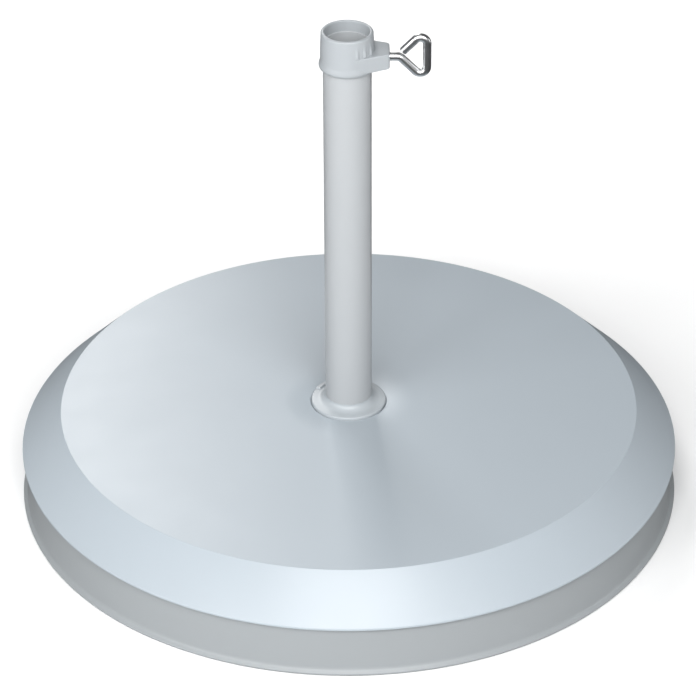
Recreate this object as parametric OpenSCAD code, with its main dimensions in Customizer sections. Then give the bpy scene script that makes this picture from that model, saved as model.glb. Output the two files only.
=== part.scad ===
// Parasol base: two round moulded shells around a cast concrete ballast, a steel stand tube bolted
// down through the middle, and a moulded collar whose bent-wire screw clamps the parasol's pole.
// Millimetres, +Z up. The origin is the middle of the footprint, on the ground under the feet.
// The clamp screw points along +X.

/* [Base shells] */
// Diameter over the tray's flared rim
base_d = 600; // [580:5:620]
// How far the top shell's lip stands back from the rim
lip_inset = 1.5; // [1:0.1:2]
// Diameter of the flat disc on top
disc_d = 525; // [515:1:535]
// Height of the flat disc above the ground
disc_z = 84.5; // [84:0.5:90]
// Height where the sloping shoulder meets the lip
lip_z = 50; // [48:0.5:51]
// Height of the upright lip below the shoulder
lip_h = 3; // [3:0.5:4.5]
// Wall thickness of both shells
shell_t = 3; // [2.5:0.1:3.5]
// How far the tray's wall stands back under the lip
wall_inset = 3.7; // [3.5:0.1:4.5]
// Gap under the tray's rim, left by the feet
rim_gap = 0.5; // [0.4:0.1:1.5]
// Number of stiffening ribs under the tray
rib_count = 12; // [6:6:12]

/* [Feet and shell screws] */
// Number of feet, and of screws between them
foot_count = 6; // [4:1:6]
// Diameter of one foot
foot_d = 40; // [34:1:44]
// Radius of the circle of feet
foot_ring_r = 255; // [245:1:258]
// Radius of the circle of shell screws
screw_ring_r = 232; // [220:1:240]

/* [Stand tube] */
// Outer diameter of the tube
tube_d = 42; // [41:0.1:43]
// Wall thickness of the tube
tube_wall = 2.5; // [2:0.1:2.6]
// Height of the tube's upper end above the ground
tube_top_z = 450; // [420:1:500]
// Depth of the threaded plug in the tube's lower end
plug_h = 18; // [15:1:25]
// Diameter of the flange around the tube's foot
flange_d = 68; // [66:1:70]
// Height of the flange's edge above the disc
flange_edge_h = 2.6; // [2.4:0.1:3.2]
// Height of the flange's neck above the disc
flange_neck_h = 8.5; // [7:0.5:10]
// Direction of the flange's index tab
tab_angle = 141; // [120:1:160]

/* [Collar] */
// Height of the collar
collar_h = 34; // [33:0.5:36]
// How far the collar's mouth stands above the tube's end
mouth_h = 10; // [9:0.5:12]
// Radius of the collar at its mouth
mouth_r = 22.6; // [22.5:0.1:23]
// Radius of the collar above its bead
skirt_r = 23.5; // [23.2:0.1:24]
// Radius of the bead around the collar's lower edge
bead_r = 24.6; // [24.2:0.1:25]
// Distance of the boss's end face from the tube's axis
boss_end_x = 36.3; // [35.5:0.1:38]
// Width of the boss at its end face
boss_end_w = 22; // [20:0.5:24]
// Height of the boss
boss_h = 15.5; // [15.2:0.1:16.5]
// Number of grip ribs on each side of the boss
grip_ribs = 3; // [1:1:3]

/* [Clamp screw] */
// Diameter of the wire
wire_d = 7.2; // [7:0.1:7.3]
// Height of the screw's axis above the ground
screw_z = 435.4; // [435:0.1:436]
// Distance of the first bend from the tube's axis
bend_x = 42.3; // [42:0.1:45]
// Angle between the loop's legs and the screw's axis
leg_angle = 46; // [44:1:48]
// Distance of the loop's far side from the tube's axis
loop_x = 68.4; // [67.5:0.1:70]
// Bend radius at the neck, on the wire's middle line
neck_r = 6.5; // [6:0.1:7]
// Bend radius of the loop's two corners, on the wire's middle line
corner_r = 5.8; // [5.5:0.1:6]
// Length of the loop's straight far side
side_len = 22; // [20:0.5:24]
// Length of the straight stretch that ends the wire
tail_len = 15.8; // [14:0.1:16]

/* [Hidden] */

$fn = 96;
ring_fn = 240;         // facets on the shells' large circles
fit = 0.05;            // running or push fit, on the radius
gap = 0.15;            // gap between the castings, on the radius
through = 1;           // how far a cutter runs past a face
arc_steps = 6;         // stretches in a rounded corner

base_r = base_d / 2;
disc_r = disc_d / 2;
lip_r = base_r - lip_inset;
wall_r = lip_r - wall_inset;
slope = (disc_z - lip_z) / (lip_r - disc_r);
slope_angle = atan(slope);
shell_under_z = disc_z - shell_t;
// Radius where the shell's inner slope meets its flat underside
under_r = disc_r - shell_t * tan(slope_angle / 2);
lip_foot_z = lip_z - lip_h;

tube_r = tube_d / 2;
pole_r = tube_r - tube_wall;
plug_seat_r = pole_r + 0.2;
recess_gap = 0.6;
recess_r = flange_d / 2 + recess_gap;
recess_z = disc_z - 1.5;
recess_under_z = recess_z - 3.5;
spigot_r = 26.8;
hook_r = 28.4;
spigot_z = recess_z - 6;

floor_z = 3;                             // underside of the tray's floor
floor_top = floor_z + shell_t;
rim_in_r = base_r - 10;                  // inside of the tray's rim
cup_r = 28;                              // bolt cup in the middle of the tray
cup_in_r = 22;
cup_roof = 20;
cup_top = cup_roof + shell_t;
cover_r = 24.4;
post_r = 7;                              // screw posts under the top shell
screw_cup_r = 9;
screw_cup_roof = 9;
screw_cup_top = screw_cup_roof + shell_t;
pocket_roof = 6;                         // pockets for the feet
stem_r = 4;
stem_h = 2.5;

bolt_r = 5;                              // M10 tie bolt
bolt_af = 16;
bolt_head_h = 6.4;
washer_t = 3;
lock_t = 2.2;
bolt_seat_z = cup_roof - washer_t - lock_t;

rim_z = tube_top_z + mouth_h;
collar_z = rim_z - collar_h;
socket_r = tube_r + fit;
mouth_in_r = pole_r + 1;
boss_z = collar_z + 1.5;
boss_top = boss_z + boss_h;
boss_rise = 1.2;                         // how much the boss's underside climbs to its end

wire_r = wire_d / 2;
bend_thinning = 0.01;
bend_lap = 0.02;
hole_r = 6;                              // hole in the tube that the pad passes through
pad_r = hole_r - 0.3;
pad_x = pole_r + 0.4;
pad_t = 4;
insert_x = 24;
insert_flange_t = 1.6;
insert_flange_r = 6.4;
insert_r = 5.2;
insert_len = 10;
tip_head_r = 2.9;                        // snap head on the screw's tip
tip_neck_r = 2.3;
tip_head_len = 1.2;
tip_neck_len = 1.4;

// Points on an arc about [x, y]
function arc(x, y, r, from, to) =
    [for (i = [0:arc_steps])
        let (a = from + (to - from) * i / arc_steps)
        [x + r * cos(a), y + r * sin(a)]];

// The same points on the other side of the X axis, in the opposite order
function mirrored(points) =
    [for (i = [len(points) - 1:-1:0]) [points[i][0], -points[i][1]]];

// Height of the top shell's inner slope at radius r
function inner_slope_z(r) = shell_under_z - slope * (r - under_r);

// ---- placing ----

module round_about(count, ring_r, first = 0) {
    for (i = [0:count - 1])
        rotate(first + i * 360 / count)
            translate([ring_r, 0, 0])
                children();
}

module at_screws() {
    round_about(foot_count, screw_ring_r)
        children();
}

module at_feet() {
    round_about(foot_count, foot_ring_r, 180 / foot_count)
        children();
}

// A plain disc or bush from z0 to z1, with a hole where r_in is over 0
module bush(r_out, r_in, z0, z1) {
    difference() {
        translate([0, 0, z0])
            cylinder(r = r_out, h = z1 - z0);
        if (r_in > 0)
            translate([0, 0, z0 - through])
                cylinder(r = r_in, h = z1 - z0 + 2 * through);
    }
}

// The same along +X, on the clamp screw's axis
module bush_x(r_out, r_in, x0, x1) {
    translate([0, 0, screw_z])
        rotate([0, 90, 0])
            bush(r_out, r_in, x0, x1);
}

// ---- base ----

module shell_outline() {
    lip_round = 1.2;
    lip_in_r = wall_r + 0.3;
    polygon(concat(
        [[hook_r - 1.4, recess_under_z],
         [hook_r - 1.4, recess_z],
         [recess_r, recess_z],
         [recess_r, disc_z]],
        arc(disc_r - 1, disc_z - 1, 1, 90, 90 - slope_angle),
        arc(lip_r - lip_round, lip_z - lip_round, lip_round, 90 - slope_angle, 0),
        arc(lip_r - 1, lip_foot_z + 1, 1, 0, -90),
        [[lip_in_r, lip_foot_z],
         [lip_in_r, inner_slope_z(lip_in_r)],
         [under_r, shell_under_z],
         [recess_r + 3.5, shell_under_z],
         [recess_r + 3.5, recess_under_z]]));
}

module top_shell() {
    pilot_r = 2.45;
    pilot_h = 30;
    color("#c8d0d7")
        difference() {
            union() {
                rotate_extrude($fn = ring_fn)
                    shell_outline();
                at_screws()
                    bush(post_r, 0, screw_cup_top + gap, shell_under_z + through);
            }
            at_screws()
                bush(pilot_r, 0, screw_cup_top - through, screw_cup_top + pilot_h);
        }
}

module tray_outline() {
    flare_z = rim_gap + 7;
    wall_foot_r = wall_r + 1.2;
    wall_top_z = lip_foot_z + 1.6;
    polygon(concat(
        [[0, floor_z],
         [rim_in_r - 1.5, floor_z],
         [rim_in_r, rim_gap]],
        arc(base_r - 1.6, rim_gap + 1.6, 1.6, -90, 40),
        [[wall_foot_r + 0.7, flare_z - 2.5],
         [wall_foot_r, flare_z],
         [wall_r, lip_foot_z],
         [wall_r, wall_top_z],
         [wall_r - shell_t, wall_top_z],
         [wall_foot_r - shell_t, flare_z],
         [wall_foot_r - shell_t - 2, floor_top],
         [0, floor_top]]));
}

module tray_rib() {
    rib_w = 3;
    rib_in = cup_r + 14;
    translate([rib_in, -rib_w / 2, rim_gap + 0.3])
        cube([rim_in_r - rib_in, rib_w, floor_z - rim_gap]);
}

module base_tray() {
    color("#b7bdc4")
        difference() {
            union() {
                rotate_extrude($fn = ring_fn)
                    tray_outline();
                bush(cup_r, 0, floor_z, cup_top);
                at_screws()
                    bush(screw_cup_r, 0, floor_z, screw_cup_top);
                at_feet()
                    bush(foot_d / 2 + shell_t, 0, floor_z, pocket_roof + shell_t);
                round_about(rib_count, 0, 180 / rib_count)
                    tray_rib();
            }
            bush(cup_in_r, 0, -through, cup_roof);
            bush(cover_r + fit, 0, -through, floor_z + 3);
            bush(bolt_r + 0.5, 0, 0, cup_top + through);
            at_screws() {
                bush(screw_cup_r - 2.5, 0, -through, screw_cup_roof);
                bush(3, 0, 0, screw_cup_top + through);
            }
            at_feet() {
                bush(foot_d / 2 + fit, 0, -through, pocket_roof);
                bush(stem_r + fit, 0, 0, pocket_roof + stem_h + 0.1);
            }
        }
}

module ballast_outline() {
    sleeve_hole_r = tube_r + 2.6;
    side_r = wall_r - shell_t - gap;
    polygon([
        [cup_r + gap, floor_top + gap],
        [side_r - 2, floor_top + gap],
        [side_r, floor_top + 5],
        [side_r, inner_slope_z(side_r) - gap * 2],
        [under_r - gap, shell_under_z - gap],
        [recess_r + 3.5 + gap, shell_under_z - gap],
        [recess_r + 3.5 + gap, recess_under_z - gap],
        [hook_r + 1.6, recess_under_z - gap],
        [hook_r + 1.6, spigot_z - 1],
        [sleeve_hole_r, spigot_z - 1],
        [sleeve_hole_r, cup_top + gap],
        [cup_r + gap, cup_top + gap]]);
}

module ballast() {
    color("#8f8d88")
        difference() {
            rotate_extrude($fn = ring_fn)
                ballast_outline();
            at_screws() {
                bush(screw_cup_r + gap, 0, 0, screw_cup_top + gap);
                bush(post_r + gap, 0, 0, disc_z);
            }
            at_feet()
                bush(foot_d / 2 + shell_t + gap, 0, 0, pocket_roof + shell_t + gap);
        }
}

module socket_sleeve() {
    color("#3c3f42")
        bush(tube_r + 2.5, tube_r + 0.1, cup_top + gap, spigot_z - 1.2);
}

// ---- stand tube and its fixing ----

module stand_tube() {
    foot_z = cup_top + gap;
    seat_top = foot_z + plug_h;
    color("#ccd2d5")
        difference() {
            bush(tube_r, pole_r, foot_z, tube_top_z);
            bush(plug_seat_r, 0, foot_z - through, seat_top);
            bush_x(hole_r, 0, pole_r - 5, tube_r + through);
        }
}

module tube_plug() {
    foot_z = cup_top + gap;
    color("#9a9c9e")
        bush(plug_seat_r - 0.02, bolt_r + fit, foot_z, foot_z + plug_h);
}

module flange_outline() {
    bore_r = tube_r + fit;
    neck_r = tube_r + 0.9;
    flange_r = flange_d / 2;
    edge_z = disc_z + flange_edge_h;
    neck_z = disc_z + flange_neck_h;
    dome = (flange_r - 3 - neck_r);
    polygon(concat(
        [[bore_r, spigot_z],
         [spigot_r, spigot_z],
         [hook_r, recess_under_z - 1.6],
         [hook_r, recess_under_z - 0.1],
         [spigot_r, recess_under_z - 0.1],
         [spigot_r, recess_z + 0.1],
         [flange_r, recess_z + 0.1]],
        arc(flange_r - 1.5, edge_z - 1.5, 1.5, 0, 70),
        // The dome sweeps up in an S from the edge to the neck
        [for (i = [1:arc_steps])
            let (t = i / (arc_steps + 1))
            [flange_r - 3 - dome * t,
             edge_z + 0.4 + (neck_z - edge_z - 1) * pow(t, 2.2)]],
        [[neck_r, neck_z],
         [bore_r, neck_z]]));
}

module foot_flange() {
    tab_w = 13;
    tab_r = flange_d / 2 - 0.6;
    tab_t = 4;
    tab_rise = 1.5;
    color("#cdd3d8")
        union() {
            rotate_extrude($fn = ring_fn)
                flange_outline();
            rotate(tab_angle)
                translate([tab_r - tab_t, -tab_w / 2, recess_z + 0.5])
                    cube([tab_t, tab_w, disc_z + flange_edge_h + tab_rise - recess_z - 0.5]);
        }
}

module tie_bolt() {
    shank_top = cup_top + gap + plug_h - 2;
    color("#b9bcbe")
        union() {
            translate([0, 0, bolt_seat_z - bolt_head_h])
                cylinder(d = bolt_af / cos(30), h = bolt_head_h, $fn = 6);
            bush(bolt_r, 0, bolt_seat_z, shank_top);
        }
}

module tie_washer() {
    color("#b9bcbe")
        bush(cup_in_r - 1, bolt_r + 0.5, cup_roof - washer_t, cup_roof);
}

module lock_washer() {
    slit = 1.6;
    color("#a4a7a9")
        difference() {
            bush(9, bolt_r + 0.2, bolt_seat_z, bolt_seat_z + lock_t);
            translate([0, -slit / 2, bolt_seat_z - through])
                cube([10, slit, lock_t + 2 * through]);
        }
}

module bolt_cover() {
    skirt_in_r = cup_in_r - 2.5;
    color("#4a4d50")
        union() {
            bush(cover_r, 0, floor_z + 0.5, floor_z + 3);
            bush(cup_in_r - 0.1, skirt_in_r, floor_z + 3, floor_z + 7);
        }
}

module shell_screws() {
    head_r = 5;
    head_h = 3.2;
    shank_r = 2.4;
    shank_len = 26;
    cross_w = 1.4;
    cross_len = 5.6;
    cross_depth = 1.6;
    color("#b4b7ba")
        at_screws()
            difference() {
                union() {
                    bush(head_r, 0, screw_cup_roof - head_h, screw_cup_roof);
                    bush(shank_r, 0, screw_cup_roof, screw_cup_roof + shank_len);
                }
                for (turn = [0, 90])
                    rotate(turn)
                        translate([-cross_len / 2, -cross_w / 2, screw_cup_roof - head_h - through])
                            cube([cross_len, cross_w, cross_depth + through]);
            }
}

module foot(number) {
    edge = 1.5;
    pad_rr = foot_d / 2 - 1;
    color("#33363a")
        rotate((number - 0.5) * 360 / foot_count)
            translate([foot_ring_r, 0, 0])
                union() {
                    rotate_extrude()
                        polygon([[0, 0],
                                 [pad_rr - edge, 0],
                                 [pad_rr, edge],
                                 [foot_d / 2, edge + 0.6],
                                 [foot_d / 2, pocket_roof],
                                 [0, pocket_roof]]);
                    bush(stem_r, 0, pocket_roof - 0.5, pocket_roof + stem_h);
                }
}

// ---- collar and clamp ----

module collar_outline() {
    lead = 1.5;
    polygon(concat(
        [[socket_r, collar_z],
         [tube_r + 1.4, collar_z],
         [bead_r - 0.7, collar_z + 1.4],
         [bead_r, collar_z + 3.2],
         [bead_r - 0.3, collar_z + 5],
         [skirt_r, collar_z + 8]],
        arc(mouth_r - lead, rim_z - lead, lead, 10, 90),
        arc(mouth_in_r + 1.1, rim_z - 1.1, 1.1, 90, 180),
        [[mouth_in_r, tube_top_z + fit],
         [socket_r, tube_top_z + fit]]));
}

// Plan of the boss: the collar's circle drawn out to the end face by two tangents
module boss_plan() {
    half_w = boss_end_w / 2;
    corner = 3;
    tangent = atan2(half_w, boss_end_x) + acos(skirt_r / norm([boss_end_x, half_w]));
    corner_x = boss_end_x - corner;
    corner_y = (skirt_r - corner - corner_x * cos(tangent)) / sin(tangent);
    left = concat(
        arc(corner_x, corner_y, corner, 0, tangent),
        [[skirt_r * cos(tangent), skirt_r * sin(tangent)],
         [0, tube_r - 2]]);
    polygon(concat(left, mirrored(left)));
}

module boss() {
    intersection() {
        translate([0, 0, boss_z])
            linear_extrude(height = boss_h)
                boss_plan();
        rotate([90, 0, 0])
            translate([0, 0, -30])
                linear_extrude(height = 60)
                    polygon([[-5, boss_z],
                             [boss_end_x + 1, boss_z + boss_rise],
                             [boss_end_x + 1, boss_top + 1],
                             [-5, boss_top + 1]]);
    }
}

// Upright rib beside the boss, leaning in so that it fades out below the mouth
module grip_rib(angle) {
    rib_r = 2.4;
    rib_h = 14;
    lean = 7;
    rotate(angle)
        translate([skirt_r - rib_r + 0.9, 0, boss_top - 0.5])
            rotate([0, -lean, 0])
                cylinder(r = rib_r, h = rib_h);
}

module collar() {
    first_rib = 30;
    rib_step = 19;
    color("#c6cdd3")
        difference() {
            union() {
                rotate_extrude()
                    collar_outline();
                difference() {
                    union() {
                        boss();
                        for (side = [-1, 1], i = [0:grip_ribs - 1])
                            grip_rib(side * (first_rib + i * rib_step));
                    }
                    bush(socket_r + 1, 0, collar_z, rim_z);
                }
            }
            bush_x(insert_flange_r + fit, 0, pole_r, insert_x + insert_flange_t);
            bush_x(insert_r + fit, 0, pole_r, insert_x + insert_len + fit);
            bush_x(wire_r + 0.6, 0, pole_r, boss_end_x + 2);
        }
}

module threaded_insert() {
    insert_bore = wire_r + fit;
    color("#c8a860")
        union() {
            bush_x(insert_flange_r, insert_bore, insert_x, insert_x + insert_flange_t);
            bush_x(insert_r, insert_bore, insert_x + insert_flange_t, insert_x + insert_len);
        }
}

module pressure_pad() {
    back = pad_x + pad_t;
    color("#2f3236")
        difference() {
            bush_x(pad_r, 0, pad_x, back);
            bush_x(tip_neck_r + fit, 0, back - tip_neck_len - through, back + through);
            bush_x(tip_head_r + fit, 0, back - tip_neck_len - tip_head_len - 0.1,
                   back - tip_neck_len + 0.05);
        }
}

// Wire drawn run by run from the origin in the XY plane, starting along +X.
// Each step is a straight length, then a turn to the left and its bend radius.
// The wire is a hair thinner in its bends, and each run laps a little way into them.
module wire(steps, i = 0) {
    run = steps[i][0];
    turn = steps[i][1];
    r = steps[i][2];
    side = sign(turn);
    rotate([0, 90, 0])
        translate([0, 0, -bend_lap])
            cylinder(r = wire_r, h = run + 2 * bend_lap);
    if (turn != 0)
        translate([run, 0, 0]) {
            translate([0, side * r, 0])
                rotate(turn > 0 ? -90 : 90 + turn)
                    rotate_extrude(angle = abs(turn))
                        translate([r, 0])
                            circle(r = wire_r - bend_thinning);
            translate([r * sin(abs(turn)), side * r * (1 - cos(turn)), 0])
                rotate(turn)
                    wire(steps, i + 1);
        }
}

module clamp_screw() {
    back = pad_x + pad_t;
    head_x = back - tip_neck_len - tip_head_len;
    shank_x = back + fit + bend_lap;
    neck_end_x = bend_x + neck_r * sin(leg_angle);
    leg_end_x = loop_x - corner_r * (1 + sin(leg_angle));
    leg_len = (leg_end_x - neck_end_x) / cos(leg_angle);
    corner_turn = 90 + leg_angle;
    color("#c9cdd0")
        union() {
            bush_x(tip_head_r, 0, head_x, head_x + tip_head_len);
            bush_x(tip_neck_r, 0, head_x + tip_head_len - 0.2, shank_x + 0.5);
            translate([shank_x, 0, screw_z])
                rotate([90, 0, 0])
                    wire([[bend_x - shank_x, -leg_angle, neck_r],
                          [leg_len, corner_turn, corner_r],
                          [side_len, corner_turn, corner_r],
                          [tail_len, 0, 0]]);
        }
}

top_shell();
base_tray();
ballast();
socket_sleeve();
stand_tube();
tube_plug();
foot_flange();
tie_bolt();
tie_washer();
lock_washer();
bolt_cover();
shell_screws();
foot(1);  // foot_1
foot(2);  // foot_2
foot(3);  // foot_3
foot(4);  // foot_4
foot(5);  // foot_5
foot(6);  // foot_6
collar();
threaded_insert();
pressure_pad();
clamp_screw();
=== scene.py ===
import math
import bpy
import bmesh
from mathutils import Matrix, Vector


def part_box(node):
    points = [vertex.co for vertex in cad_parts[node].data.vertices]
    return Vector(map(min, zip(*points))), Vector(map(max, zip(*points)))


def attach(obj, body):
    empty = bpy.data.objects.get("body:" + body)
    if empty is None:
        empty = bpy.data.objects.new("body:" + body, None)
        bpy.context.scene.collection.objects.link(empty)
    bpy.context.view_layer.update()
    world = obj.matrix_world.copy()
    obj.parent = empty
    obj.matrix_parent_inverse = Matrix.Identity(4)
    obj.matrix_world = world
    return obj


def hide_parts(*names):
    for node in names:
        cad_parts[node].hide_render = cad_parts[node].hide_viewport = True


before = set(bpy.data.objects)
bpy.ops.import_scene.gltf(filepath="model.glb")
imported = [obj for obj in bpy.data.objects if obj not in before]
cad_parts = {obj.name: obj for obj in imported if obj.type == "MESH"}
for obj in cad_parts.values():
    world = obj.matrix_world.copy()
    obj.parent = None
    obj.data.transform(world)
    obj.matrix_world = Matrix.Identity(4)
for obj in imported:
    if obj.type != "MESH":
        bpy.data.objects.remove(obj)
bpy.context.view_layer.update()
mm = 0.001

# ---- Base tray -----------------------------------------------------------------------------
# The lower half of the base: a round tray injection moulded in mid grey polypropylene, with a
# set-back wall, a flared rim at the ground, stiffening ribs, and pockets for screws and feet.

tray_low, tray_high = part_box("base_tray")
base_r = tray_high.x
lip_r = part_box("top_shell")[1].x
shell_t = 3 * mm
wall_r = lip_r - 3.7 * mm
wall_foot_r = wall_r + 1.2 * mm
rim_z = tray_low.z
rim_in_r = base_r - 10 * mm
floor_z = 3 * mm
flare_z = rim_z + 7 * mm
wall_top_z = tray_high.z
foot_count = 6
foot_ring_r = 255 * mm
foot_r = 20 * mm
pocket_roof = 6 * mm
screw_ring_r = 232 * mm
screw_cup_r = 9 * mm
screw_cup_roof = 9 * mm
cup_r = 28 * mm
cup_in_r = 22 * mm
cup_roof = 20 * mm
cover_r = 24.4 * mm
stiffener_count = 12
stiffener_in_r = 42 * mm
stiffener_w = 3 * mm
around = 384


def arc(centre_r, centre_z, radius, start, stop, steps=6):
    """Points on an arc in the radius and height plane, angles in degrees."""
    angles = [math.radians(start + (stop - start) * i / steps) for i in range(steps + 1)]
    return [(centre_r + radius * math.cos(a), centre_z + radius * math.sin(a)) for a in angles]


def new_piece(name, mesh):
    """A mesh as a linked object, its faces outwards and its shading smooth but for sharp edges."""
    tidy = bmesh.new()
    tidy.from_mesh(mesh)
    bmesh.ops.remove_doubles(tidy, verts=tidy.verts, dist=0.002 * mm)
    bmesh.ops.dissolve_degenerate(tidy, edges=tidy.edges, dist=0.002 * mm)
    bmesh.ops.recalc_face_normals(tidy, faces=tidy.faces)
    tidy.to_mesh(mesh)
    tidy.free()
    mesh.shade_smooth()
    mesh.set_sharp_from_angle(angle=math.radians(33))
    piece = bpy.data.objects.new(name, mesh)
    bpy.context.scene.collection.objects.link(piece)
    return piece


def lofted(name, outline_at, steps=around):
    """A body of revolution whose closed outline may change with the angle it stands at."""
    rings = []
    points = []
    for i in range(steps):
        angle = 2 * math.pi * i / steps
        outline = outline_at(angle)
        rings.append(range(len(points), len(points) + len(outline)))
        points += [(r * math.cos(angle), r * math.sin(angle), z) for r, z in outline]
    faces = []
    for i, ring in enumerate(rings):
        following = rings[(i + 1) % steps]
        for j in range(len(ring)):
            k = (j + 1) % len(ring)
            faces.append((ring[j], following[j], following[k], ring[k]))
    mesh = bpy.data.meshes.new(name)
    mesh.from_pydata(points, [], faces)
    return new_piece(name, mesh)


def turned(name, outline, steps=around):
    """A plain body of revolution about the Z axis."""
    return lofted(name, lambda angle: outline, steps)


def as_mesh(piece):
    """Takes up a piece's modifiers into its mesh."""
    graph = bpy.context.evaluated_depsgraph_get()
    done = bpy.data.meshes.new_from_object(piece.evaluated_get(graph))
    piece.modifiers.clear()
    piece.data = done
    return piece


def combine(piece, tool, operation):
    """Joins a tool to a piece, or cuts it away, and drops the tool."""
    step = piece.modifiers.new("combine", "BOOLEAN")
    step.object = tool
    step.operation = operation
    step.solver = "EXACT"
    as_mesh(piece)
    bpy.data.objects.remove(tool)
    return piece


def set_round(name, source, count, ring_r, first=0.0, finish=None):
    """Copies of a source piece in a ring about the Z axis, turned to face outwards."""
    tree = bpy.data.node_groups.new(name + "_ring", "GeometryNodeTree")
    given = {"Source": source, "Count": count, "Ring radius": ring_r, "First angle": first}
    kinds = {"Source": "Object", "Count": "Int", "Ring radius": "Float", "First angle": "Float"}
    sockets = {
        label: tree.interface.new_socket(label, in_out="INPUT", socket_type="NodeSocket" + kind)
        for label, kind in kinds.items()
    }
    tree.interface.new_socket("Geometry", in_out="OUTPUT", socket_type="NodeSocketGeometry")
    put = tree.nodes.new
    link = tree.links.new
    entry = put("NodeGroupInput")
    circle = put("GeometryNodeMeshCircle")
    link(entry.outputs["Count"], circle.inputs["Vertices"])
    link(entry.outputs["Ring radius"], circle.inputs["Radius"])
    index = put("GeometryNodeInputIndex")
    share = put("ShaderNodeMath")
    share.operation = "DIVIDE"
    link(index.outputs[0], share.inputs[0])
    link(entry.outputs["Count"], share.inputs[1])
    turn = put("ShaderNodeMath")
    turn.operation = "MULTIPLY_ADD"
    turn.inputs[1].default_value = 2 * math.pi
    link(share.outputs[0], turn.inputs[0])
    turn.inputs[2].default_value = 0
    spin = put("ShaderNodeCombineXYZ")
    link(turn.outputs[0], spin.inputs["Z"])
    picked = put("GeometryNodeObjectInfo")
    link(entry.outputs["Source"], picked.inputs["Object"])
    copies = put("GeometryNodeInstanceOnPoints")
    link(circle.outputs["Mesh"], copies.inputs["Points"])
    link(picked.outputs["Geometry"], copies.inputs["Instance"])
    link(spin.outputs[0], copies.inputs["Rotation"])
    placed = put("GeometryNodeTransform")
    start = put("ShaderNodeCombineXYZ")
    link(entry.outputs["First angle"], start.inputs["Z"])
    link(start.outputs[0], placed.inputs["Rotation"])
    link(copies.outputs["Instances"], placed.inputs["Geometry"])
    solid = put("GeometryNodeRealizeInstances")
    link(placed.outputs["Geometry"], solid.inputs["Geometry"])
    painted = put("GeometryNodeSetMaterial")
    painted.inputs["Material"].default_value = finish
    link(solid.outputs["Geometry"], painted.inputs["Geometry"])
    leave = put("NodeGroupOutput")
    link(painted.outputs["Geometry"], leave.inputs["Geometry"])
    piece = bpy.data.objects.new(name, bpy.data.meshes.new(name))
    bpy.context.scene.collection.objects.link(piece)
    step = piece.modifiers.new("ring", "NODES")
    step.node_group = tree
    for label, socket in sockets.items():
        step[socket.identifier] = given[label]
    as_mesh(piece)
    bpy.data.objects.remove(source)
    return piece


def plug_outline(r_out, low, high, r_in=0.0):
    """Outline of a plain disc or bush, as a tool for combine."""
    return [(r_in, low), (r_out, low), (r_out, high), (r_in, high)]


def moulded(name, colour, roughness, grain=0.02 * mm, clouds=0.012, uneven=0.012):
    """Injection moulded plastic: a spark-eroded grain, faint flow clouds and uneven sheen."""
    finish = bpy.data.materials.new(name)
    finish.use_nodes = True
    tree = finish.node_tree
    put = tree.nodes.new
    link = tree.links.new
    shader = tree.nodes["Principled BSDF"]
    place = put("ShaderNodeTexCoord")
    flow = put("ShaderNodeTexNoise")
    flow.inputs["Scale"].default_value = 7
    flow.inputs["Detail"].default_value = 3
    link(place.outputs["Object"], flow.inputs["Vector"])
    tone = put("ShaderNodeMix")
    tone.data_type = "RGBA"
    tone.inputs["A"].default_value = [c * (1 - clouds) for c in colour] + [1]
    tone.inputs["B"].default_value = [c * (1 + clouds) for c in colour] + [1]
    link(flow.outputs["Fac"], tone.inputs["Factor"])
    spread = put("ShaderNodeTexNoise")
    spread.inputs["Scale"].default_value = 38
    spread.inputs["Detail"].default_value = 6
    link(place.outputs["Object"], spread.inputs["Vector"])
    sheen = put("ShaderNodeMapRange")
    sheen.inputs["From Min"].default_value = 0.35
    sheen.inputs["From Max"].default_value = 0.65
    sheen.inputs["To Min"].default_value = roughness - uneven
    sheen.inputs["To Max"].default_value = roughness + uneven
    link(spread.outputs["Fac"], sheen.inputs["Value"])
    link(sheen.outputs["Result"], shader.inputs["Roughness"])
    pits = put("ShaderNodeTexNoise")
    pits.inputs["Scale"].default_value = 1400
    pits.inputs["Detail"].default_value = 2
    link(place.outputs["Object"], pits.inputs["Vector"])
    texture = put("ShaderNodeBump")
    texture.inputs["Strength"].default_value = 0.35
    texture.inputs["Distance"].default_value = grain
    link(pits.outputs["Fac"], texture.inputs["Height"])
    link(texture.outputs["Normal"], shader.inputs["Normal"])
    link(tone.outputs["Result"], shader.inputs["Base Color"])
    shader.inputs["IOR"].default_value = 1.49
    return finish


def fitted(piece, body, node, finish=None):
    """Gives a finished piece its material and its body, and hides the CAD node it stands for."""
    if finish is not None:
        piece.data.materials.clear()
        piece.data.materials.append(finish)
    piece.data.name = piece.name
    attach(piece, body)
    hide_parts(node)
    return piece


tray_outline = [
    (0, floor_z),
    (rim_in_r - 1.5 * mm, floor_z),
    *arc(rim_in_r - 1.0 * mm + 0.9 * mm, rim_z + 0.9 * mm, 0.9 * mm, 200, 270),
    *arc(base_r - 1.6 * mm, rim_z + 1.6 * mm, 1.6 * mm, -90, 42, 10),
    (wall_foot_r + 1.35 * mm, flare_z - 3.1 * mm),
    (wall_foot_r + 0.72 * mm, flare_z - 2.2 * mm),
    (wall_foot_r + 0.28 * mm, flare_z - 1.1 * mm),
    (wall_foot_r, flare_z + 0.6 * mm),
    (wall_r, wall_top_z - 0.4 * mm),
    (wall_r - 0.4 * mm, wall_top_z),
    (wall_r - shell_t, wall_top_z),
    (wall_foot_r - shell_t, flare_z),
    (wall_foot_r - shell_t - 2 * mm, floor_z + shell_t),
    (0, floor_z + shell_t),
]
tray = turned("base_tray_shell", tray_outline)
cups = set_round(
    "screw_cups", turned("screw_cup", plug_outline(screw_cup_r, floor_z + 1 * mm, 12 * mm), 48),
    foot_count, screw_ring_r)
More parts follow.
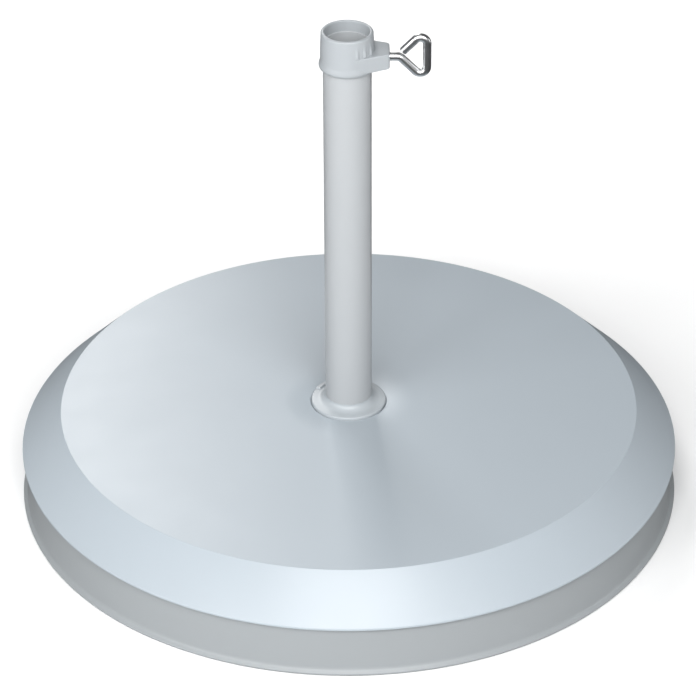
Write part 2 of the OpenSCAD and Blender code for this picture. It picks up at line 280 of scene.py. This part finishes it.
pockets = set_round(
    "foot_cups", turned("foot_cup", plug_outline(foot_r + shell_t, floor_z + 1 * mm, 9 * mm), 72),
    foot_count, foot_ring_r, math.pi / foot_count)

stiffener_h = floor_z - rim_z
stiffener_len = rim_in_r - 1 * mm - stiffener_in_r
stiffener_mid = Vector((
    stiffener_in_r + stiffener_len / 2, 0, rim_z + 0.3 * mm + stiffener_h / 2))
stiffener_shape = bmesh.new()
bmesh.ops.create_cube(stiffener_shape, size=1, matrix=Matrix.Translation(stiffener_mid)
                      @ Matrix.Diagonal((stiffener_len, stiffener_w, stiffener_h, 1)))
lower = [e for e in stiffener_shape.edges if all(v.co.z < stiffener_mid.z for v in e.verts)]
bmesh.ops.bevel(stiffener_shape, geom=lower, offset=0.6 * mm, segments=3, affect="EDGES")
stiffener_mesh = bpy.data.meshes.new("rib")
stiffener_shape.to_mesh(stiffener_mesh)
stiffener_shape.free()
ribs = set_round(
    "ribs", new_piece("rib", stiffener_mesh), stiffener_count, 0.0, math.pi / stiffener_count)
combine(tray, cups, "UNION")
combine(tray, ribs, "UNION")
combine(tray, pockets, "UNION")
combine(tray, turned("cup", plug_outline(cup_r, floor_z + 1 * mm, cup_roof + shell_t), 96), "UNION")
combine(tray, set_round(
    "screw_wells",
    turned("well", [(0, -1 * mm), (7.1 * mm, -1 * mm), (7.1 * mm, floor_z - 0.01 * mm),
                    (6.5 * mm, floor_z + 0.6 * mm), (6.5 * mm, screw_cup_roof),
                    (3 * mm, screw_cup_roof), (3 * mm, 13 * mm), (0, 13 * mm)], 48),
    foot_count, screw_ring_r), "DIFFERENCE")
combine(tray, set_round(
    "foot_wells",
    turned("well", [(0, -1 * mm), (foot_r + 0.7 * mm, -1 * mm), (foot_r + 0.7 * mm, floor_z),
                    (foot_r + 0.05 * mm, floor_z + 0.6 * mm), (foot_r + 0.05 * mm, pocket_roof),
                    (0, pocket_roof)], 72),
    foot_count, foot_ring_r, math.pi / foot_count), "DIFFERENCE")
combine(tray, turned(
    "cup_well",
    [(0, -1 * mm), (cover_r + 0.5 * mm, -1 * mm), (cover_r + 0.5 * mm, floor_z),
     (cover_r + 0.05 * mm, floor_z + 0.5 * mm), (cover_r + 0.05 * mm, floor_z + 3 * mm),
     (cup_in_r, floor_z + 3 * mm), (cup_in_r, cup_roof), (5.5 * mm, cup_roof),
     (5.5 * mm, cup_roof + 4 * mm), (0, cup_roof + 4 * mm)], 96), "DIFFERENCE")
tray_plastic = moulded("tray_plastic", (0.300, 0.320, 0.332), 0.42)
fitted(tray, "base", "base_tray", tray_plastic)

# ---- Top shell -----------------------------------------------------------------------------
# The cover: one moulded plate in pale grey with a satin gloss, flat on top, sloping at the
# shoulder to an upright lip that hangs over the tray's wall.

disc_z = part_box("top_shell")[1].z
disc_r = 262.5 * mm
lip_z = 50 * mm
lip_foot_z = 47 * mm
slope = (disc_z - lip_z) / (lip_r - disc_r)
slope_angle = math.degrees(math.atan(slope))
under_z = disc_z - shell_t
under_r = disc_r - shell_t * math.tan(math.radians(slope_angle / 2))
lip_in_r = wall_r + 0.3 * mm
recess_r = 34.6 * mm
recess_z = disc_z - 1.5 * mm
recess_under_z = recess_z - 3.5 * mm
hub_hole_r = 27 * mm

disc_edge = 1.0 * mm
lip_round = 1.2 * mm
shell_outline = [
    (hub_hole_r, recess_under_z),
    (hub_hole_r, recess_z),
    *arc(recess_r - 0.4 * mm, recess_z + 0.4 * mm, 0.4 * mm, -90, 0, 4),
    *arc(recess_r + 0.4 * mm, disc_z - 0.4 * mm, 0.4 * mm, 180, 90, 4),
    (60 * mm, disc_z), (120 * mm, disc_z), (190 * mm, disc_z),
    *arc(disc_r - disc_edge, disc_z - disc_edge, disc_edge, 90, 90 - slope_angle),
    *arc(lip_r - lip_round, lip_z - lip_round, lip_round, 90 - slope_angle, 0),
    *arc(lip_r - 0.9 * mm, lip_foot_z + 0.9 * mm, 0.9 * mm, 0, -90),
    (lip_in_r, lip_foot_z),
    (lip_in_r, under_z - slope * (lip_in_r - under_r)),
    (under_r, under_z),
    (recess_r + 3.5 * mm, under_z),
    (recess_r + 3.5 * mm, recess_under_z),
]
shell = turned("top_shell_cover", shell_outline, 512)
posts = set_round(
    "posts", turned("post", plug_outline(7 * mm, 12.15 * mm, under_z + 0.8 * mm), 48),
    foot_count, screw_ring_r)
combine(shell, posts, "UNION")
combine(shell, set_round(
    "pilots", turned("pilot", plug_outline(2.45 * mm, 10 * mm, 42 * mm), 32),
    foot_count, screw_ring_r), "DIFFERENCE")
shell_plastic = moulded("shell_plastic", (0.415, 0.464, 0.505), 0.33)
fitted(shell, "base", "top_shell", shell_plastic)

# ---- Ballast and socket sleeve -------------------------------------------------------------
# Concrete cast into the shells, round a black plastic duct that keeps a hole for the tube.


def cast_concrete(name, colour):
    """Cast concrete: grey paste with sand, darker stones and small air holes."""
    finish = bpy.data.materials.new(name)
    finish.use_nodes = True
    tree = finish.node_tree
    put = tree.nodes.new
    link = tree.links.new
    shader = tree.nodes["Principled BSDF"]
    place = put("ShaderNodeTexCoord")
    sand = put("ShaderNodeTexNoise")
    sand.inputs["Scale"].default_value = 260
    sand.inputs["Detail"].default_value = 8
    link(place.outputs["Object"], sand.inputs["Vector"])
    stones = put("ShaderNodeTexVoronoi")
    stones.inputs["Scale"].default_value = 90
    link(place.outputs["Object"], stones.inputs["Vector"])
    mix = put("ShaderNodeMix")
    mix.data_type = "RGBA"
    mix.inputs["A"].default_value = [c * 0.7 for c in colour] + [1]
    mix.inputs["B"].default_value = [c * 1.15 for c in colour] + [1]
    link(sand.outputs["Fac"], mix.inputs["Factor"])
    link(mix.outputs["Result"], shader.inputs["Base Color"])
    relief = put("ShaderNodeBump")
    relief.inputs["Distance"].default_value = 0.6 * mm
    link(stones.outputs["Distance"], relief.inputs["Height"])
    link(relief.outputs["Normal"], shader.inputs["Normal"])
    shader.inputs["Roughness"].default_value = 0.9
    return finish


def repaint(node, finish):
    """A new material on a CAD node that keeps its own mesh."""
    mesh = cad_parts[node].data
    mesh.materials.clear()
    mesh.materials.append(finish)


repaint("ballast", cast_concrete("concrete", (0.42, 0.41, 0.39)))
black_plastic = moulded("black_plastic", (0.03, 0.03, 0.033), 0.5)
repaint("socket_sleeve", black_plastic)

# ---- Stand tube and foot flange ------------------------------------------------------------
# A length of steel tube, powder coated in pale grey, with one hole for the clamp's pad. Its foot
# passes through a moulded flange that snaps into the cover.

tube_low, tube_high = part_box("stand_tube")
tube_r = tube_high.x
pole_r = tube_r - 2.5 * mm
plug_seat_r = pole_r + 0.2 * mm
plug_h = 18 * mm
pad_low, pad_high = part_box("pressure_pad")
screw_z = (pad_low.z + pad_high.z) / 2
edge = 0.35 * mm


def along_x(piece):
    """Turns a piece made about the Z axis to lie along +X at the screw's height."""
    turn = Matrix.Rotation(math.pi / 2, 4, "Y")
    piece.data.transform(Matrix.Translation((0, 0, screw_z)) @ turn)
    return piece


def powder_coat(name, colour, roughness):
    """Powder coating on steel: an even satin film with a faint orange peel."""
    finish = moulded(name, colour, roughness, clouds=0.012)
    tree = finish.node_tree
    peel = next(n for n in tree.nodes if n.type == "BUMP")
    grain = peel.inputs["Height"].links[0].from_node
    grain.inputs["Scale"].default_value = 420
    peel.inputs["Strength"].default_value = 0.25
    return finish


tube = turned("stand_tube_steel", [
    (plug_seat_r, tube_low.z),
    (tube_r - edge, tube_low.z),
    (tube_r, tube_low.z + edge),
    (tube_r, tube_high.z - edge),
    (tube_r - edge, tube_high.z),
    (pole_r + edge, tube_high.z),
    (pole_r, tube_high.z - edge),
    (pole_r, tube_low.z + plug_h),
    (plug_seat_r, tube_low.z + plug_h),
], 192)
combine(tube, along_x(turned("pad_hole", plug_outline(6 * mm, 10 * mm, 25 * mm), 64)), "DIFFERENCE")
tube_paint = powder_coat("tube_paint", (0.405, 0.422, 0.436), 0.38)
fitted(tube, "base", "stand_tube", tube_paint)

flange_low, flange_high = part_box("foot_flange")
flange_r = flange_high.x
flange_edge_z = disc_z + 2.6 * mm
neck_r = tube_r + 0.3 * mm
neck_z = flange_high.z
tab_angle = math.radians(141)
tab_half = math.radians(11.5)
tab_rise = 1.5 * mm


def ease(t):
    """A smooth step from 0 to 1."""
    t = min(max(t, 0.0), 1.0)
    return t * t * (3 - 2 * t)


def flange_outline(angle):
    """The flange's section; its edge stands higher where the index tab is."""
    away = abs((angle - tab_angle + math.pi) % (2 * math.pi) - math.pi)
    tab = ease((tab_half - away) / math.radians(1.2) + 0.5)
    rise = tab_rise * tab
    dome_r = flange_r - 4.5 * mm
    dome_z = flange_edge_z + 0.3 * mm
    dome = [
        (dome_r - (dome_r - neck_r) * math.sin(a),
         dome_z + (neck_z - dome_z) * (1 - math.cos(a)))
        for a in (math.radians(5 * i) for i in range(1, 19))
    ]
    return [
        (tube_r + 0.05 * mm, flange_low.z),
        (26.8 * mm, flange_low.z),
        (28.4 * mm, recess_under_z - 1.6 * mm),
        (28.4 * mm, recess_under_z - 0.1 * mm),
        (26.8 * mm, recess_under_z - 0.1 * mm),
        (26.8 * mm, recess_z + 0.1 * mm),
        (flange_r - 0.4 * mm, recess_z + 0.1 * mm),
        (flange_r, recess_z + 0.5 * mm),
        *[(r, z + rise) for r, z in arc(flange_r - 1.3 * mm, flange_edge_z - 1.3 * mm,
                                        1.3 * mm, 0, 85, 6)],
        (flange_r - 3.0 * mm, flange_edge_z + 0.15 * mm + rise),
        (flange_r - 4.2 * mm, flange_edge_z + 0.25 * mm + rise),
        (flange_r - 4.5 * mm, flange_edge_z + 0.3 * mm + rise * 0.6),
        *dome,
        (tube_r + 0.05 * mm, neck_z),
    ]


flange = lofted("foot_flange_moulding", flange_outline, 360)
flange_plastic = moulded("flange_plastic", (0.42, 0.455, 0.48), 0.36)
fitted(flange, "base", "foot_flange", flange_plastic)

# ---- Tie bolt, its washers and the plug it screws into -------------------------------------
# Zinc plated M10 hardware in the cup under the tray; a plug in the tube's end takes the thread.


def plated_steel(name, colour, roughness):
    """Bright zinc over drawn steel: fine streaks and slightly uneven brightness."""
    finish = bpy.data.materials.new(name)
    finish.use_nodes = True
    tree = finish.node_tree
    put = tree.nodes.new
    link = tree.links.new
    shader = tree.nodes["Principled BSDF"]
    shader.inputs["Metallic"].default_value = 1
    place = put("ShaderNodeTexCoord")
    bloom = put("ShaderNodeTexNoise")
    bloom.inputs["Scale"].default_value = 160
    bloom.inputs["Detail"].default_value = 5
    link(place.outputs["Object"], bloom.inputs["Vector"])
    tone = put("ShaderNodeMix")
    tone.data_type = "RGBA"
    tone.inputs["A"].default_value = [c * 0.9 for c in colour] + [1]
    tone.inputs["B"].default_value = [min(1, c * 1.08) for c in colour] + [1]
    link(bloom.outputs["Fac"], tone.inputs["Factor"])
    link(tone.outputs["Result"], shader.inputs["Base Color"])
    gloss = put("ShaderNodeMapRange")
    gloss.inputs["To Min"].default_value = roughness - 0.05
    gloss.inputs["To Max"].default_value = roughness + 0.07
    link(bloom.outputs["Fac"], gloss.inputs["Value"])
    link(gloss.outputs["Result"], shader.inputs["Roughness"])
    fine = put("ShaderNodeTexNoise")
    fine.inputs["Scale"].default_value = 2600
    link(place.outputs["Object"], fine.inputs["Vector"])
    skin = put("ShaderNodeBump")
    skin.inputs["Strength"].default_value = 0.2
    skin.inputs["Distance"].default_value = 0.01 * mm
    link(fine.outputs["Fac"], skin.inputs["Height"])
    link(skin.outputs["Normal"], shader.inputs["Normal"])
    return finish


zinc_steel = plated_steel("zinc_steel", (0.80, 0.81, 0.82), 0.34)
plain_steel = plated_steel("plain_steel", (0.5, 0.5, 0.5), 0.38)
for node in ("tie_bolt", "tie_washer", "lock_washer"):
    repaint(node, zinc_steel)
repaint("tube_plug", plain_steel)

# ---- Bolt cover and shell screws -----------------------------------------------------------
# A black moulded cap pushed into the cup over the bolt, with a notch to lever it out, and six
# zinc plated pan head screws that hold the tray to the posts under the cover.


def block(name, low, high):
    """A plain block between two corners, as a tool for combine."""
    shape = bmesh.new()
    bmesh.ops.create_cube(shape, size=1)
    mesh = bpy.data.meshes.new(name)
    shape.to_mesh(mesh)
    shape.free()
    low = Vector(low)
    high = Vector(high)
    mesh.transform(Matrix.Translation((low + high) / 2) @ Matrix.Diagonal((*(high - low), 1)))
    return new_piece(name, mesh)


cap_low, cap_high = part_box("bolt_cover")
cap_z = cap_low.z
cap_edge = 0.8 * mm
plate_top = cap_z + 2.5 * mm
skirt_out_r = cup_in_r - 0.1 * mm
skirt_in_r = cup_in_r - 2.5 * mm
skirt_lead = 0.5 * mm
notch_half = 4 * mm
cap = turned("bolt_cap", [
    (0, cap_z),
    *arc(cover_r - cap_edge, cap_z + cap_edge, cap_edge, -90, 0),
    (cover_r, plate_top),
    (skirt_out_r, plate_top),
    (skirt_out_r, cap_high.z - skirt_lead),
    (skirt_out_r - skirt_lead, cap_high.z),
    (skirt_in_r, cap_high.z),
    (skirt_in_r, plate_top),
    (0, plate_top),
], 128)
combine(cap, block("lever_notch", (cover_r - 2.2 * mm, -notch_half, cap_z - 1 * mm),
                   (cover_r + 1 * mm, notch_half, cap_z + 1.2 * mm)), "DIFFERENCE")
fitted(cap, "base", "bolt_cover", black_plastic)

pan_low, pan_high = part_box("shell_screws")
pan_r = 5 * mm
pan_round = 1.6 * mm
pan_edge = 0.3 * mm
shank_r = 2.4 * mm
cross_half_len = 2.8 * mm
cross_half_w = 0.7 * mm
cross_depth = 1.6 * mm
pan_screw = turned("pan_head_screw", [
    (0, pan_low.z),
    *arc(pan_r - pan_round, pan_low.z + pan_round, pan_round, -90, 0),
    (pan_r, screw_cup_roof - pan_edge),
    (pan_r - pan_edge, screw_cup_roof),
    (shank_r, screw_cup_roof),
    (shank_r, pan_high.z - 3 * mm),
    (0.5 * mm, pan_high.z),
    (0, pan_high.z),
], 48)
for half_x, half_y in ((cross_half_len, cross_half_w), (cross_half_w, cross_half_len)):
    combine(pan_screw, block("cross", (-half_x, -half_y, pan_low.z - 1 * mm),
                             (half_x, half_y, pan_low.z + cross_depth)), "DIFFERENCE")
pan_screws = set_round("pan_head_screws", pan_screw, foot_count, screw_ring_r, 0.0, zinc_steel)
fitted(pan_screws, "base", "shell_screws", zinc_steel)

# ---- Feet ----------------------------------------------------------------------------------
# Six black rubber discs with moulded grip rings, pushed into the tray's pockets by a stem.

rubber = moulded("rubber", (0.022, 0.022, 0.024), 0.75, grain=0.05 * mm)
pad_r = foot_r - 1 * mm
grip = 0.7 * mm
for number in range(1, foot_count + 1):
    angle = (number - 0.5) * 2 * math.pi / foot_count
    foot = turned(f"foot_{number}_rubber", [
        (0, grip), (5.0 * mm, grip),
        *[point for ring in (6, 10, 14) for point in (
            (ring * mm, 0), ((ring + 2) * mm, 0), ((ring + 2.6) * mm, grip),
            ((ring + 3.4) * mm, grip))],
        (18.0 * mm, 0.3 * mm),
        (pad_r, 1.5 * mm),
        (foot_r, 2.1 * mm),
        (foot_r, pocket_roof),
        (4 * mm, pocket_roof),
        (4 * mm, pocket_roof + 2.2 * mm),
        (3.6 * mm, pocket_roof + 2.5 * mm),
        (0, pocket_roof + 2.5 * mm),
    ], 96)
    foot.data.transform(Matrix.Translation(
        (foot_ring_r * math.cos(angle), foot_ring_r * math.sin(angle), 0)))
    fitted(foot, "base", f"foot_{number}", rubber)

# ---- Collar --------------------------------------------------------------------------------
# A moulding pushed over the tube's end: a beaded skirt, a round mouth that guides the pole, and a
# boss drawn out sideways for the clamp screw, with upright grip ribs above its shoulders.

collar_low, collar_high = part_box("collar")
skirt_r = 23.5 * mm
mouth_r = 22.6 * mm
bead_r = 24.6 * mm
bead_z = collar_low.z + 3.3 * mm
skirt_z = collar_low.z + 7.6 * mm
collar_foot_r = tube_r + 1.5 * mm
socket_r = tube_r + 0.05 * mm
mouth_in_r = pole_r + 1 * mm
boss_end_x = 36.3 * mm
boss_half = 11 * mm
boss_corner = 3 * mm
boss_z = collar_low.z + 1.5 * mm
boss_top = boss_z + 15.5 * mm
boss_rise = 1.2 * mm
boss_round = 1.3 * mm
tangent = math.atan2(boss_half, boss_end_x) + math.acos(skirt_r / math.hypot(boss_end_x, boss_half))
corner_x = boss_end_x - boss_corner
corner_y = (skirt_r - boss_corner - corner_x * math.cos(tangent)) / math.sin(tangent)
rib_angles = [math.radians(a) for a in (30, 49, 68)]
rib_h = 1.3 * mm
rib_half = math.radians(4.6)
rib_top = collar_high.z - 4.5 * mm


def skirt_radius(z):
    """Outer radius of the collar itself at a height."""
    if z < bead_z:
        share = (z - collar_low.z) / (bead_z - collar_low.z)
        return collar_foot_r + (bead_r - collar_foot_r) * math.sqrt(max(0, 1 - (1 - share) ** 2))
    if z < skirt_z:
        return bead_r - (bead_r - skirt_r) * ease((z - bead_z) / (skirt_z - bead_z))
    return skirt_r - (skirt_r - mouth_r) * (z - skirt_z) / (collar_high.z - skirt_z)


def boss_reach(angle):
    """Distance from the tube's axis to the boss's side or end in a direction."""
    turn = abs((angle + math.pi) % (2 * math.pi) - math.pi)
    if turn >= tangent:
        return 0.0
    side = skirt_r / math.cos(tangent - turn)
    if turn >= math.pi / 2:
        return side
    end = boss_end_x / math.cos(turn)
    reach = min(side, end)
    starts = math.atan2(corner_y, boss_end_x)
    stops = math.atan2(corner_y + boss_corner * math.sin(tangent),
                       corner_x + boss_corner * math.cos(tangent))
    if starts < turn < stops:
        along = corner_x * math.cos(turn) + corner_y * math.sin(turn)
        across = corner_x * math.sin(turn) - corner_y * math.cos(turn)
        reach = along + math.sqrt(boss_corner ** 2 - across ** 2)
    return reach


def rib_bump(angle, z):
    """How far a grip rib stands out at an angle and height."""
    turn = abs((angle + math.pi) % (2 * math.pi) - math.pi)
    if z < boss_top:
        return 0.0
    fade = ease((rib_top - z) / (rib_top - boss_top)) * ease((z - boss_top) / (0.8 * mm))
    return rib_h * fade * sum(
        max(0.0, math.cos(math.pi / 2 * (turn - rib) / rib_half)) ** 0.8
        for rib in rib_angles if abs(turn - rib) < rib_half)


def collar_outline(angle):
    """The collar's section, with the boss where the angle meets it."""
    reach = boss_reach(angle)
    outer = [(collar_foot_r, collar_low.z)]
    for i in range(1, 5):
        z = collar_low.z + (boss_z - collar_low.z) * i / 4
        outer.append((skirt_radius(z), z))
    rows = []
    for i in range(1, 7):
        share = i / 6
        r = skirt_r + (reach - boss_round - skirt_r) * share
        rows.append((r, boss_z + boss_rise * max(0, r) * math.cos(angle) / boss_end_x))
    under = boss_z + boss_rise * math.cos(angle) * reach / boss_end_x if reach else boss_z
    rows += [(r, z) for r, z in arc(reach - boss_round, under + boss_round, boss_round, -80, 0, 5)]
    rows += [(reach, under + boss_round + (boss_top - under - 2 * boss_round) * i / 8)
             for i in range(1, 8)]
    rows += arc(reach - boss_round, boss_top - boss_round, boss_round, 0, 90, 5)
    wall = skirt_radius(boss_top)
    blend = min(1.2 * mm, max(0.0, 0.45 * (reach - boss_round - wall)))
    root = wall + blend
    flat = max(reach - boss_round, root)
    rows += [(flat + (root - flat) * i / 5, boss_top) for i in range(1, 5)]
    rows += [(root - blend * math.sin(a), boss_top + blend * (1 - math.cos(a)))
             for a in (math.radians(18 * i) for i in range(6))]
    for r, z in rows:
        outer.append((max(r, skirt_radius(z)), z))
    start = boss_top + blend
    lead = 1.9 * mm
    for i in range(1, 15):
        z = start + (collar_high.z - lead - start) * i / 14
        outer.append((skirt_radius(z), z))
    outer = [(r + rib_bump(angle, z), z) for r, z in outer]
    top_r = skirt_radius(collar_high.z - lead)
    return [
        (socket_r, tube_high.z + 0.05 * mm),
        (socket_r, collar_low.z + 0.4 * mm),
        (socket_r + 0.4 * mm, collar_low.z),
        *outer,
        *arc(top_r - lead, collar_high.z - lead, lead, 10, 90, 7),
        *arc(mouth_in_r + 1.1 * mm, collar_high.z - 1.1 * mm, 1.1 * mm, 90, 180, 6),
        (mouth_in_r, tube_high.z + 0.05 * mm),
    ]


collar = lofted("collar_moulding", collar_outline, 480)
combine(collar, along_x(turned("screw_way", [
    (0, 15 * mm), (6.45 * mm, 15 * mm), (6.45 * mm, 25.6 * mm), (5.25 * mm, 25.6 * mm),
    (5.25 * mm, 34.05 * mm), (4.2 * mm, 34.05 * mm), (4.2 * mm, boss_end_x - 0.5 * mm),
    (4.8 * mm, boss_end_x + 0.1 * mm), (4.8 * mm, boss_end_x + 2 * mm),
    (0, boss_end_x + 2 * mm)], 64)), "DIFFERENCE")
collar_plastic = moulded("collar_plastic", (0.375, 0.40, 0.42), 0.36)
fitted(collar, "base", "collar", collar_plastic)

# ---- Threaded insert and pressure pad ------------------------------------------------------
# A flanged brass insert in the boss carries the screw; a nylon pad on the screw's tip bears on
# the pole and doesn't turn.

repaint("threaded_insert", plated_steel("brass", (0.72, 0.52, 0.22), 0.3))
repaint("pressure_pad", moulded("nylon", (0.04, 0.04, 0.043), 0.45))

# ---- Clamp screw ---------------------------------------------------------------------------
# Bright zinc plated wire, 7.2 mm thick: an M8 thread is rolled on one end, and the other is bent
# into an open loop for the fingers, with its cut end left just short of the neck.

wire_r = 3.6 * mm
bend_x = 42.3 * mm
leg_angle = math.radians(46)
loop_x = 68.4 * mm
neck_bend_r = 6.5 * mm
corner_bend_r = 5.8 * mm
side_len = 22 * mm
tail_len = 15.8 * mm
pitch = 1.25 * mm
thread_depth = 0.55 * mm
thread_end = 34.5 * mm
shank_x = pad_high.x + 0.07 * mm
tip_head_r = 2.9 * mm
neck_wire_r = 2.3 * mm
wire_sides = 48


def wire_line():
    """Middle line of the wire past its thread: points and directions in the XZ plane."""
    neck_end_x = bend_x + neck_bend_r * math.sin(leg_angle)
    leg_end_x = loop_x - corner_bend_r * (1 + math.sin(leg_angle))
    leg_len = (leg_end_x - neck_end_x) / math.cos(leg_angle)
    turn = math.pi / 2 + leg_angle
    steps = [(bend_x - thread_end, -leg_angle, neck_bend_r), (leg_len, turn, corner_bend_r),
             (side_len, turn, corner_bend_r), (tail_len, 0, 0)]
    place = Vector((thread_end, screw_z))
    heading = 0.0
    line = [(place.copy(), heading)]
    for run, bend, radius in steps:
        place = place + run * Vector((math.cos(heading), math.sin(heading)))
        line.append((place.copy(), heading))
        if bend:
            side = math.copysign(1, bend)
            centre = place + side * radius * Vector((-math.sin(heading), math.cos(heading)))
            parts = max(8, round(abs(bend) / math.radians(5)))
            for i in range(1, parts + 1):
                now = heading + bend * i / parts
                spot = centre - side * radius * Vector((-math.sin(now), math.cos(now)))
                line.append((spot, now))
            heading += bend
            place = line[-1][0].copy()
    return line


def wire_mesh():
    """The whole wire as rings of points: tip, thread, shank, loop and cut end."""
    rings = []
    tip = shank_x - 0.07 * mm - 2.6 * mm
    for x, r in ((tip, 0), (tip, tip_head_r - 0.3 * mm), (tip + 0.3 * mm, tip_head_r),
                 (tip + 1.2 * mm, tip_head_r), (tip + 1.2 * mm, neck_wire_r),
                 (shank_x, neck_wire_r), (shank_x, wire_r - thread_depth)):
        rings.append([(x, r)] * wire_sides)
    count = round((thread_end - shank_x) / (pitch / 14))
    for i in range(1, count + 1):
        x = shank_x + (thread_end - shank_x) * i / count
        ring = []
        for j in range(wire_sides):
            phase = (x / pitch - j / wire_sides) % 1.0
            groove = max(0.0, 1 - abs(phase - 0.5) / 0.42)
            taper = min(1.0, (x - shank_x) / (1.5 * mm))
            runout = min(1.0, (thread_end - x) / (2 * mm))
            depth = thread_depth * (1 - taper) + thread_depth * groove * taper
            ring.append((x, wire_r - depth * (runout if x > shank_x + 2 * mm else 1)))
        rings.append(ring)
    points = []
    for ring in rings:
        for j, (x, r) in enumerate(ring):
            a = 2 * math.pi * j / wire_sides
            points.append((x, r * math.cos(a), screw_z + r * math.sin(a)))
    line = wire_line()
    cut = 0.45 * mm
    sections = [(spot, heading, wire_r) for spot, heading in line[1:-1]]
    end, heading = line[-1]
    ahead = Vector((math.cos(heading), math.sin(heading)))
    sections += [(end - ahead * cut, heading, wire_r), (end, heading, wire_r - cut),
                 (end, heading, 0)]
    for spot, heading, r in sections:
        for j in range(wire_sides):
            a = 2 * math.pi * j / wire_sides
            up = Vector((-math.sin(heading), math.cos(heading))) * r * math.sin(a)
            points.append((spot.x + up.x, r * math.cos(a), spot.y + up.y))
    total = len(points) // wire_sides
    faces = [
        (i * wire_sides + j, i * wire_sides + (j + 1) % wire_sides,
         (i + 1) * wire_sides + (j + 1) % wire_sides, (i + 1) * wire_sides + j)
        for i in range(total - 1) for j in range(wire_sides)
    ]
    mesh = bpy.data.meshes.new("clamp_screw_wire")
    mesh.from_pydata(points, [], faces)
    return mesh


screw = new_piece("clamp_screw_wire", wire_mesh())
fitted(screw, "screw", "clamp_screw", zinc_steel)

# ---- Studio --------------------------------------------------------------------------------
# A plain pale floor and a broad key from the front, with weaker lights at its sides, a panel behind
# the base that the cover's gloss mirrors, and a narrow light over the floor at the back.

floor_mesh = bpy.data.meshes.new("floor")
floor_half = 20
floor_mesh.from_pydata(
    [(-floor_half, -floor_half, 0), (floor_half, -floor_half, 0),
     (floor_half, floor_half, 0), (-floor_half, floor_half, 0)], [], [(0, 1, 2, 3)])
floor = bpy.data.objects.new("floor", floor_mesh)
bpy.context.scene.collection.objects.link(floor)
floor_paint = moulded("floor_paint", (0.98, 0.98, 0.98), 0.9, clouds=0.004)
floor.data.materials.append(floor_paint)
floor.visible_glossy = False


def softbox(name, azimuth, elevation, distance, size, power, aim=(0, 0, 0.1)):
    """A square studio light that looks at the object. Azimuth 0 is +X, 90 is +Y."""
    data = bpy.data.lights.new(name, "AREA")
    data.size = size
    data.energy = power
    light = bpy.data.objects.new(name, data)
    a = math.radians(azimuth)
    e = math.radians(elevation)
    away = Vector((math.cos(a) * math.cos(e), math.sin(a) * math.cos(e), math.sin(e)))
    light.location = Vector(aim) + away * distance
    light.rotation_euler = away.to_track_quat("Z", "Y").to_euler()
    bpy.context.scene.collection.objects.link(light)
    return light


softbox("key", -90, 45, 4, 2.4, 143)
softbox("front_left", -128, 31, 4, 1.3, 50)
softbox("front_right", -56, 33, 4, 1.3, 32)
softbox("left", 211, 19, 4, 1.3, 30)
softbox("low_right", 0, 8, 4, 1.3, 16)
softbox("back_panel", 107, 33.5, 4, 1.4, 50).visible_camera = False
over_floor = softbox("over_floor", 90, 90, 1.6, 2.6, 7, aim=(0, 1.75, 0))
over_floor.data.spread = math.radians(40)
over_floor.visible_camera = False

world = bpy.data.worlds.new("studio")
world.use_nodes = True
world.node_tree.nodes["Background"].inputs["Color"].default_value = (0.9, 0.95, 1.0, 1)
world.node_tree.nodes["Background"].inputs["Strength"].default_value = 0.03
bpy.context.scene.world = world
bpy.context.scene.view_settings.view_transform = "Standard"

camera_data = bpy.data.cameras.new("camera")
camera = bpy.data.objects.new("camera", camera_data)
camera_data.sensor_width = 36
camera_data.lens = 169.11
camera_data.clip_end = 100
camera.location = (-0.0004, -2.496, 1.719)
tilt = Matrix.Rotation(math.radians(90 - 32.308), 4, "X")
camera.rotation_euler = (tilt @ Matrix.Rotation(math.radians(-0.25), 4, "Z")).to_euler()
bpy.context.scene.collection.objects.link(camera)
bpy.context.scene.camera = camera
